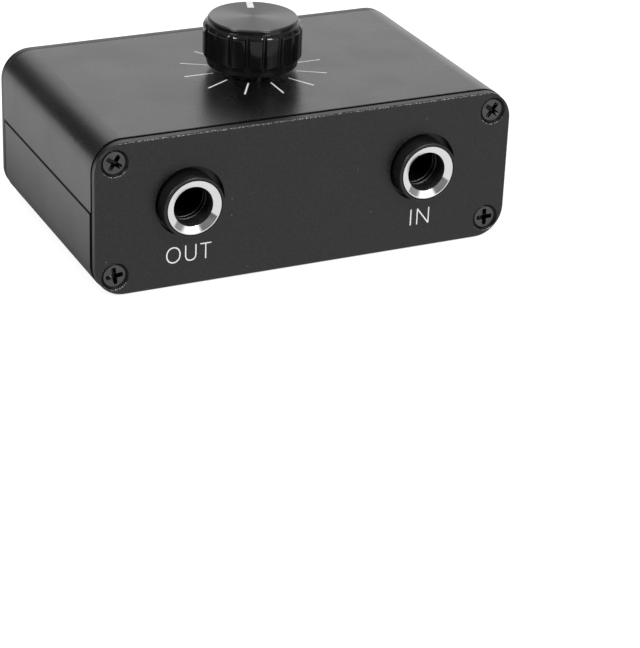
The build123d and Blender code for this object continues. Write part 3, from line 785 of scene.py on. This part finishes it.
def plate_screws(name, node, slack_degrees, back):
    """The four screws of one plate, each turned as it was left when it was driven home."""
    low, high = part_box(node)
    head_radius, upward = 1.83 * MM, 0.5
    columns = (low.x + head_radius, high.x - head_radius)
    rows = (high.z - head_radius, low.z + head_radius)
    face_y = low.y if not back else high.y
    facing = Matrix.Rotation(math.radians(180), 4, "Z") if back else Matrix()
    all_screws = bmesh.new()
    for (x, z), degrees in zip([(x, z) for z in rows for x in columns], slack_degrees):
        bm = cross_head_screw()
        lay_down = Matrix.Rotation(math.radians(90), 4, "X")
        driven = Matrix.Rotation(math.radians(degrees), 4, "Y")
        move(bm, lay_down, driven, facing, Matrix.Translation((x, face_y, z)))
        bm.normal_update()
        # Upward walls on the left of each recess take the bright steel, a painted glint
        for face in bm.faces:
            if face.material_index == 1 and face.normal.z > upward and face.calc_center_median().x < x:
                face.material_index = 2
        single = bpy.data.meshes.new("screw")
        bm.to_mesh(single)
        bm.free()
        all_screws.from_mesh(single)
        bpy.data.meshes.remove(single)
    finish_piece(all_screws, name, "case", [black_screw, recess_painted_shade_steel, painted_glint_steel], [node])


plate_screws("front_screws", "front_plate_screws", (35, 38, 83, 88), back=False)
plate_screws("rear_screws", "rear_plate_screws", (60, 25, 75, 15), back=True)

# %% [markdown]
# ## White ink
#
# The dial and the words were screen printed, and the pointer is a slot in the cap that was filled with
# paint. Printed ink is a thin dull film, slightly uneven in how well it covers. A mask in the black film
# could draw it, but letters made that way blur when the material is baked. So the print is a form of its
# own, a hundredth of a millimetre thick.

# %% Ink
white_ink, ink_tree, ink_place = new_material("white_screen_ink")
cover_mm, cover_depth_mm = 0.6, 0.003
cover = add_node(
    ink_tree, "ShaderNodeTexNoise", {"Vector": ink_place, "Scale": 1 / (cover_mm * MM), "Detail": 3.0}
)
ink_colour = add_node(
    ink_tree, "ShaderNodeMix", {0: cover, 6: linear("#b8b8b6"), 7: linear("#c8c8c6")}, data_type="RGBA"
)
ink_relief = add_node(ink_tree, "ShaderNodeBump", {"Height": cover, "Distance": cover_depth_mm * MM})
ink_shader = add_node(
    ink_tree,
    "ShaderNodeBsdfPrincipled",
    {"Base Color": ink_colour, "Roughness": 0.45, "IOR": 1.5, "Normal": ink_relief},
)
add_node(ink_tree, "ShaderNodeOutputMaterial", {"Surface": ink_shader})
print(white_ink.name, "covers unevenly over", cover_mm, "mm")

# %% [markdown]
# ## The dial
#
# Eleven marks stand round the knob, 30 degrees apart, with a gap at the back. They start under the knob's
# skirt, so that only their outer ends show. One bar could be copied by an array modifier, but the gap would
# remain to be cut, and a loop of operators just leaves that mark out.

# %% Dial marks
ink_film = 0.012
top_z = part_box("top_shell")[1].z
mark_inner, mark_outer, mark_width = 7.0, 11.93, 0.28
mark_step, gap_degrees = 30, 90
dial_middle_mm = (0.09, 0.41)
mark_length = mark_outer - mark_inner
mark_middle = mark_inner + mark_length / 2
dial_bm = bmesh.new()
for degrees in range(0, 360, mark_step):
    if degrees == gap_degrees:
        continue
    mark = bmesh.ops.create_cube(dial_bm, size=1.0)["verts"]
    bmesh.ops.scale(dial_bm, verts=mark, vec=(mark_length * MM, mark_width * MM, ink_film * MM))
    bmesh.ops.translate(dial_bm, verts=mark, vec=(mark_middle * MM, 0, ink_film / 2 * MM))
    bmesh.ops.rotate(dial_bm, verts=mark, matrix=Matrix.Rotation(math.radians(degrees), 3, "Z"))
move(dial_bm, Matrix.Translation((dial_middle_mm[0] * MM, dial_middle_mm[1] * MM, top_z)))
finish_piece(dial_bm, "dial_marks", "case", [white_ink])

# %% [markdown]
# ## The pointer
#
# The slot in the cap is part of the CAD model, so only its filling is made here. It is a bar that stays
# clear of the slot's walls and of the cap's face by a hair. Its outer upper edge is bevelled, because the
# cap's own arris is, and it rides on the knob, so it turns with the cap.

# %% Pointer
slot_length, slot_width, slot_depth = 3.1, 1.1, 0.3
end_gap, side_gap, rim_gap, sunk = 0.05, 0.02, 0.04, 0.01
pointer_degrees, paint_bevel = 71.6, 0.12
cap_radius = (cap_high.x - cap_low.x) / 2 / MM
paint_length = slot_length - end_gap
paint_middle = cap_radius - rim_gap - paint_length / 2
pointer_bm = bmesh.new()
paint = bmesh.ops.create_cube(pointer_bm, size=1.0)["verts"]
paint_size = (paint_length * MM, (slot_width - side_gap) * MM, slot_depth * MM)
bmesh.ops.scale(pointer_bm, verts=paint, vec=paint_size)
bmesh.ops.translate(pointer_bm, verts=paint, vec=(paint_middle * MM, 0, -(slot_depth / 2 + sunk) * MM))
upper_end = [v for v in paint if v.co.x > paint_middle * MM and v.co.z > -slot_depth / 2 * MM]
outer_edge = [e for e in pointer_bm.edges if all(v in upper_end for v in e.verts)]
bevel_mm = paint_bevel * MM
bmesh.ops.bevel(
    pointer_bm, geom=outer_edge, offset=bevel_mm, segments=2, profile=0.5, affect="EDGES", material=-1
)
turn_pointer = Matrix.Rotation(math.radians(pointer_degrees), 4, "Z")
move(pointer_bm, turn_pointer, Matrix.Translation((knob_axis.x, knob_axis.y, cap_high.z)))
finish_piece(pointer_bm, "pointer_paint", "knob", [white_ink])

# %% [markdown]
# ## The two words
#
# Each jack has a plain word under it that says which way the signal goes. Letters could be drawn as
# strokes, but Blender's own font is close to the printed one. The text is made a flat mesh, thinned a
# little, given the ink's thickness, fitted to the printed size and stood on the front plate.


# %% Printed words
def printed_word(name, word, middle_mm, size_mm):
    """A word in Blender's own plain font, as a thin form on the front plate."""
    letters = bpy.data.curves.new(name, "FONT")
    letters.body = word
    letters.space_character = 1.12
    letters.offset = -0.02
    holder = bpy.data.objects.new(name, letters)
    flat = bpy.data.meshes.new_from_object(holder)
    bpy.data.objects.remove(holder)
    bm = bmesh.new()
    bm.from_mesh(flat)
    bpy.data.meshes.remove(flat)
    xs = [v.co.x for v in bm.verts]
    ys = [v.co.y for v in bm.verts]
    centre = Vector(((min(xs) + max(xs)) / 2, (min(ys) + max(ys)) / 2, 0))
    fit = Vector((size_mm[0] / (max(xs) - min(xs)), size_mm[1] / (max(ys) - min(ys)), 1)) * MM
    solid = bmesh.ops.extrude_face_region(bm, geom=bm.faces[:])["geom"]
    raised = [g for g in solid if isinstance(g, bmesh.types.BMVert)]
    bmesh.ops.translate(bm, verts=raised, vec=(0, 0, ink_film))
    stand_up = Matrix.Rotation(math.radians(90), 4, "X")
    to_plate = Matrix.Translation((middle_mm[0] * MM, plate_low.y, middle_mm[1] * MM))
    move(bm, Matrix.Translation(-centre), Matrix.Diagonal((*fit, 1)), stand_up, to_plate)
    finish_piece(bm, name, "case", [white_ink])


printed_word("word_out", "OUT", (-20.06, 5.42), (7.5, 2.75))
printed_word("word_in", "IN", (19.98, 5.45), (3.4, 2.75))

# %% [markdown]
# ## The white floor
#
# The box is seen on pure white paper. A brightly lit floor would give that, but it would also
# throw light back at the box. So the paper is white only to the camera and to mirror-like reflections,
# which Light Path can tell apart, and it still takes the box's shadow. What the black film mirrors gives it
# its greys, so that side of the paper is shaped: bright in front, and to the left a ramp that falls off
# towards the box, a painted shadow for the shade that the box casts there.

# %% Floor
floor_half_m, floor_drop_mm = 6.0, 0.02
floor_mesh = bpy.data.meshes.new("floor")
floor_bm = bmesh.new()
bmesh.ops.create_grid(floor_bm, x_segments=1, y_segments=1, size=floor_half_m)
move(floor_bm, Matrix.Translation((0, 0, -floor_drop_mm * MM)))
floor_bm.to_mesh(floor_mesh)
floor_bm.free()
floor = bpy.data.objects.new("floor", floor_mesh)
bpy.context.scene.collection.objects.link(floor)
print("floor", floor.dimensions.x, "m wide")

# %% Paper as a mirror sees it, with a painted shadow
white_paper, paper_tree, paper_place = new_material("white_paper_sweep")
ramp_half_mm, front_y_mm, front_level = 60, -21, 0.92
on_floor = add_node(paper_tree, "ShaderNodeSeparateXYZ", {"Vector": paper_place})
across_floor = add_node(
    paper_tree,
    "ShaderNodeMapRange",
    {"Value": on_floor.outputs["X"], "From Min": -ramp_half_mm * MM, "From Max": ramp_half_mm * MM},
)
painted_shadow_ramp = add_node(paper_tree, "ShaderNodeValToRGB", {"Fac": across_floor})
# The low stops next to the box are a painted shadow, which only reflections see
floor_stops = [
    (0.0, 0.98),
    (0.06, 0.96),
    (0.13, 0.68),
    (0.17, 0.46),
    (0.205, 0.21),
    (0.26, 0.21),
    (0.3, 0.92),
]
floor_steps = painted_shadow_ramp.color_ramp.elements
while len(floor_steps) < len(floor_stops):
    floor_steps.new(1.0)
for step, (position, grey) in zip(floor_steps, floor_stops):
    step.position = position
    step.color = (grey, grey, grey, 1.0)
in_front = add_node(
    paper_tree, "ShaderNodeMath", {0: on_floor.outputs["Y"], 1: front_y_mm * MM}, operation="LESS_THAN"
)
mirrored_level = add_node(paper_tree, "ShaderNodeMix", {0: in_front, 2: painted_shadow_ramp, 3: front_level})
print("mirrored floor:", len(floor_stops), "stops across", 2 * ramp_half_mm, "mm")

# %% Paper as the camera sees it
paper_ray = add_node(paper_tree, "ShaderNodeLightPath")
to_camera = paper_ray.outputs["Is Camera Ray"]
camera_level = 0.70
shaded_colour = add_node(
    paper_tree,
    "ShaderNodeMix",
    {0: to_camera, 6: linear("#000000"), 7: linear("#a4a4a4")},
    data_type="RGBA",
)
shaded = add_node(paper_tree, "ShaderNodeBsdfDiffuse", {"Color": shaded_colour})
paper_level = add_node(
    paper_tree,
    "ShaderNodeMapRange",
    {"Value": to_camera, "To Min": mirrored_level, "To Max": camera_level},
)
lift = add_node(paper_tree, "ShaderNodeEmission", {"Color": linear("#ffffff"), "Strength": paper_level})
backdrop = add_node(paper_tree, "ShaderNodeAddShader", {0: shaded, 1: lift})
plain_paper = add_node(paper_tree, "ShaderNodeBsdfDiffuse", {"Color": linear("#e8e8e8")})
seen = add_node(
    paper_tree, "ShaderNodeMath", {0: to_camera, 1: paper_ray.outputs["Is Glossy Ray"]}, operation="MAXIMUM"
)
seen_at_all = add_node(
    paper_tree,
    "ShaderNodeMath",
    {0: seen, 1: paper_ray.outputs["Is Transmission Ray"]},
    operation="MAXIMUM",
)
either = add_node(paper_tree, "ShaderNodeMixShader", {0: seen_at_all, 1: plain_paper, 2: backdrop})
add_node(paper_tree, "ShaderNodeOutputMaterial", {"Surface": either})
floor_mesh.materials.append(white_paper)
print(white_paper.name, "lifted to", camera_level, "for the camera")

# %% [markdown]
# ## The white studio
#
# Round the box stands a white studio with dark flags at both flanks, as a photographer sets them up:
# without them a rounded black edge mirrors white all over and loses its shape. Panels could be modelled and
# lit. But only reflections see them, so a ramp round the horizon of the world does, for reflections alone.
# The camera gets plain white, and everything else a plain even light.

# %% White studio
world = bpy.data.worlds.new("white_studio")
bpy.context.scene.world = world
world.use_nodes = True
world.cycles.sampling_method = "NONE"
sky = world.node_tree
sky.nodes.clear()
direction = add_node(sky, "ShaderNodeTexCoord").outputs["Generated"]
round_horizon = add_node(sky, "ShaderNodeTexGradient", {"Vector": direction}, gradient_type="RADIAL")
flags = add_node(sky, "ShaderNodeValToRGB", {"Fac": round_horizon.outputs["Fac"]})
flag_stops = [
    (0.0, 0.12),
    (0.17, 0.12),
    (0.2, 0.25),
    (0.262, 0.2),
    (0.284, 1.4),
    (0.372, 1.4),
    (0.392, 0.35),
    (0.44, 0.3),
    (0.46, 0.1),
    (0.53, 0.1),
    (0.58, 1.2),
    (0.74, 1.2),
    (0.79, 0.1),
]
flag_steps = flags.color_ramp.elements
while len(flag_steps) < len(flag_stops):
    flag_steps.new(1.0)
for step, (position, grey) in zip(flag_steps, flag_stops):
    step.position = position
    step.color = (grey, grey, grey, 1.0)
print("world", world.name, len(flag_stops), "stops round the horizon")

# %% Ceiling and even light
ceiling_start, ceiling_full = 0.45, 0.75
even_light = 0.85
sky_way = add_node(sky, "ShaderNodeSeparateXYZ", {"Vector": direction})
overhead = add_node(
    sky,
    "ShaderNodeMapRange",
    {"Value": sky_way.outputs["Z"], "From Min": ceiling_start, "From Max": ceiling_full},
)
studio = add_node(
    sky, "ShaderNodeMix", {0: overhead, 6: flags, 7: (0.5, 0.5, 0.5, 1.0)}, data_type="RGBA"
)
mirrored = add_node(sky, "ShaderNodeBackground", {"Color": studio, "Strength": 1.0})
lit = add_node(sky, "ShaderNodeBackground", {"Color": (1, 1, 1, 1), "Strength": even_light})
white = add_node(sky, "ShaderNodeBackground", {"Color": (1, 1, 1, 1), "Strength": 1.0})
sky_ray = add_node(sky, "ShaderNodeLightPath")
shiny = add_node(
    sky,
    "ShaderNodeMath",
    {0: sky_ray.outputs["Is Glossy Ray"], 1: sky_ray.outputs["Is Transmission Ray"]},
    operation="MAXIMUM",
)
by_gloss = add_node(sky, "ShaderNodeMixShader", {0: shiny, 1: lit, 2: mirrored})
by_camera = add_node(
    sky, "ShaderNodeMixShader", {0: sky_ray.outputs["Is Camera Ray"], 1: by_gloss, 2: white}
)
add_node(sky, "ShaderNodeOutputWorld", {"Surface": by_camera})
print("even light of", even_light)

# %% [markdown]
# ## Softboxes
#
# Two small lamps put the sharp glints on the knob's shoulder and its grooves. Brighter stops in the world
# could do it, but each reaches from the horizon to the ceiling. A square area lamp is what the studio had,
# and its energy is worked out from how bright it should look in a mirror.

# %% Softboxes
aim_point_mm = (0, 0, 20)


def softbox(name, place_mm, size_mm, radiance):
    """A square area lamp that faces the box; radiance 1 shows as white in a mirror."""
    lamp = bpy.data.lights.new(name, "AREA")
    lamp.shape = "SQUARE"
    lamp.size = size_mm * MM
    lamp.energy = radiance * math.pi * lamp.size**2
    holder = bpy.data.objects.new(name, lamp)
    holder.location = Vector(place_mm) * MM
    aim = Vector(aim_point_mm) * MM - holder.location
    holder.rotation_euler = aim.to_track_quat("-Z", "Y").to_euler()
    bpy.context.scene.collection.objects.link(holder)


softbox("softbox_left", (-540, -120, 440), 200, 26.0)
softbox("softbox_front", (145, -513, 450), 200, 26.0)
print("lamps:", [lamp.name for lamp in bpy.data.lights])

# %% [markdown]
# ## The camera
#
# The camera could be placed by eye, but a few pixels would always be off. It stands where a fit of the
# photograph's upper view put it, to the left of the box and above it. Its lens comes from the same fit: a
# focal length in pixels, turned to millimetres by the frame's longer side.

# %% Camera
frame_pixels = (640, 648)
focal_pixels = 2355.1
camera_place = Vector((-147.183, -326.697, 157.820)) * MM
camera_forward = Vector((0.395894, 0.803337, -0.444880)).normalized()
camera_roll = math.radians(2.387)

camera_data = bpy.data.cameras.new("camera")
camera_data.sensor_width = 36.0
camera_data.lens = focal_pixels * camera_data.sensor_width / max(frame_pixels)
camera = bpy.data.objects.new("camera", camera_data)
level_right = camera_forward.cross(Vector((0, 0, 1))).normalized()
level_up = level_right.cross(camera_forward)
right = math.cos(camera_roll) * level_right + math.sin(camera_roll) * level_up
up = right.cross(camera_forward)
turned = Matrix((right, up, -camera_forward)).transposed().to_4x4()
camera.matrix_world = Matrix.Translation(camera_place) @ turned
bpy.context.scene.collection.objects.link(camera)
bpy.context.scene.camera = camera
bpy.context.scene.view_settings.view_transform = "Standard"
print("lens", round(camera_data.lens, 2), "mm")
